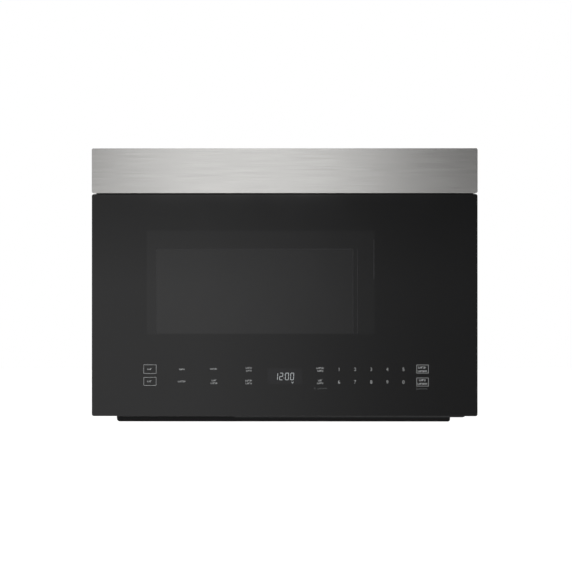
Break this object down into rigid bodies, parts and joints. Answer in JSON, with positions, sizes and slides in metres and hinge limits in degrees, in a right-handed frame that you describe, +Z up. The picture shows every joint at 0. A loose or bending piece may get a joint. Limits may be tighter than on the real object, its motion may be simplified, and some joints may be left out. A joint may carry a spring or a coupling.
{
  "type": "over the range microwave",
  "caption": "Wall-hung over the range microwave oven with a full-width black glass door, touch keys in the glass, a stainless band on top and a vented base.",
  "frame": {"origin": "centre of the wall plate's rear face, on the wall", "axes": "+X to the right seen from the front, +Y into the wall, +Z up; the door faces -Y"},
  "size_m": [0.759, 0.34, 0.542],
  "materials": {
    "brushed_steel": "horizontally brushed, satin",
    "black_glass": "polished, printed black from behind",
    "black_plastic": "moulded, fine texture",
    "black_paint": "semi-gloss powder coat",
    "zinc_steel": "zinc coated, satin",
    "grey_enamel": "smooth baked enamel",
    "clear_glass": "clear, polished",
    "white_plastic": "moulded",
    "mica": "pressed mica sheet",
    "aluminium": "expanded mesh and bare sheet",
    "carbon": "granules behind a net",
    "copper": "enamelled windings on a laminated core",
    "board_green": "solder masked board",
    "rubber": "moulded"
  },
  "bodies": {
    "case": {"wall_plate": "zinc_steel", "back_panel": "zinc_steel", "case_wrap": "black_paint", "front_frame": "black_paint", "base_pan": "black_paint", "bay_divider": "zinc_steel", "trim_band": "brushed_steel", "oven_cavity": "grey_enamel", "mica_cover": "mica", "turntable_motor": "zinc_steel", "cavity_lamp": "white_plastic", "cavity_thermostat": "black_plastic", "upper_hinge": "zinc_steel", "lower_hinge": "zinc_steel", "blower_scroll_left": "zinc_steel", "blower_scroll_right": "zinc_steel", "blower_motor": "zinc_steel", "charcoal_filter": "carbon", "lamp_lens_left": "clear_glass", "lamp_module_left": "white_plastic", "lamp_lens_right": "clear_glass", "lamp_module_right": "white_plastic", "waveguide": "zinc_steel", "magnetron": "zinc_steel", "fan_shroud": "black_plastic", "fan_motor": "zinc_steel", "transformer": "copper", "capacitor": "aluminium", "diode": "black_plastic", "control_board": "board_green", "mains_filter": "board_green", "cord_gland": "rubber", "interlock_bracket": "white_plastic", "primary_switch": "black_plastic", "monitor_switch": "black_plastic"},
    "door": {"door_glass": "black_glass", "door_frame": "black_plastic", "door_grip": "black_plastic", "door_screen": "black_paint", "door_steel": "grey_enamel", "inner_window": "clear_glass", "choke_cover": "black_plastic", "touch_board": "board_green", "display_module": "black_plastic", "latch_cover": "black_plastic", "latch_spring": "zinc_steel"},
    "latch": {"latch_bar": "white_plastic"},
    "lever": {"interlock_lever": "white_plastic"},
    "turntable": {"turntable_hub": "white_plastic"},
    "tray": {"glass_tray": "clear_glass"},
    "ring": {"roller_ring": "white_plastic"},
    "roller_1": {"roller_1": "white_plastic"},
    "roller_2": {"roller_2": "white_plastic"},
    "roller_3": {"roller_3": "white_plastic"},
    "blower": {"blower_wheel_left": "zinc_steel", "blower_wheel_right": "zinc_steel", "blower_shaft": "zinc_steel"},
    "fan": {"cooling_fan": "white_plastic"},
    "filter_left": {"grease_filter_left": "aluminium"},
    "filter_right": {"grease_filter_right": "aluminium"}
  },
  "joints": [
    {"name": "door_hinge", "type": "hinge", "parent": "case", "child": "door", "pos_m": [-0.3695, -0.328, 0], "axis": [0, 0, -1], "range_deg": [0, 100]},
    {"name": "latch_slide", "type": "slide", "parent": "door", "child": "latch", "axis": [0, 0, 1], "range_m": [0, 0.006], "stiffness_N_per_m": 150, "deforming": ["latch_spring"]},
    {"name": "lever_pivot", "type": "hinge", "parent": "case", "child": "lever", "pos_m": [0.3065, -0.2821, -0.031], "axis": [1, 0, 0], "range_deg": [0, 8]},
    {"name": "turntable_spin", "type": "hinge", "parent": "case", "child": "turntable", "pos_m": [-0.047, -0.1627, 0], "axis": [0, 0, 1], "continuous": true},
    {"name": "tray_lift", "type": "slide", "parent": "turntable", "child": "tray", "axis": [0, 0, 1], "range_m": [0, 0.03]},
    {"name": "ring_spin", "type": "hinge", "parent": "case", "child": "ring", "pos_m": [-0.047, -0.1627, 0], "axis": [0, 0, 1], "continuous": true},
    {"name": "roller_1_spin", "type": "hinge", "parent": "ring", "child": "roller_1", "pos_m": [-0.047, -0.0677, -0.1007], "axis": [0, 1, 0], "continuous": true},
    {"name": "roller_2_spin", "type": "hinge", "parent": "ring", "child": "roller_2", "pos_m": [-0.12927, -0.2102, -0.1007], "axis": [-0.866, -0.5, 0], "continuous": true},
    {"name": "roller_3_spin", "type": "hinge", "parent": "ring", "child": "roller_3", "pos_m": [0.03527, -0.2102, -0.1007], "axis": [0.866, -0.5, 0], "continuous": true},
    {"name": "blower_spin", "type": "hinge", "parent": "case", "child": "blower", "pos_m": [0, -0.0836, 0.19916], "axis": [1, 0, 0], "continuous": true},
    {"name": "fan_spin", "type": "hinge", "parent": "case", "child": "fan", "pos_m": [0.288, 0, -0.008], "axis": [0, 1, 0], "continuous": true},
    {"name": "filter_left_tilt", "type": "hinge", "parent": "case", "child": "filter_left", "pos_m": [-0.186, -0.052, -0.27], "axis": [1, 0, 0], "range_deg": [0, 60]},
    {"name": "filter_right_tilt", "type": "hinge", "parent": "case", "child": "filter_right", "pos_m": [0.05, -0.052, -0.27], "axis": [1, 0, 0], "range_deg": [0, 60]}
  ],
  "couplings": [
    {"joint": "ring_spin", "follows": "turntable_spin", "ratio": 0.5},
    {"joint": "lever_pivot", "follows": "latch_slide", "rad_per_m": 23},
    {"joint": "roller_1_spin", "follows": "turntable_spin", "ratio": -5.2778},
    {"joint": "roller_2_spin", "follows": "turntable_spin", "ratio": -5.2778},
    {"joint": "roller_3_spin", "follows": "turntable_spin", "ratio": -5.2778}
  ]
}
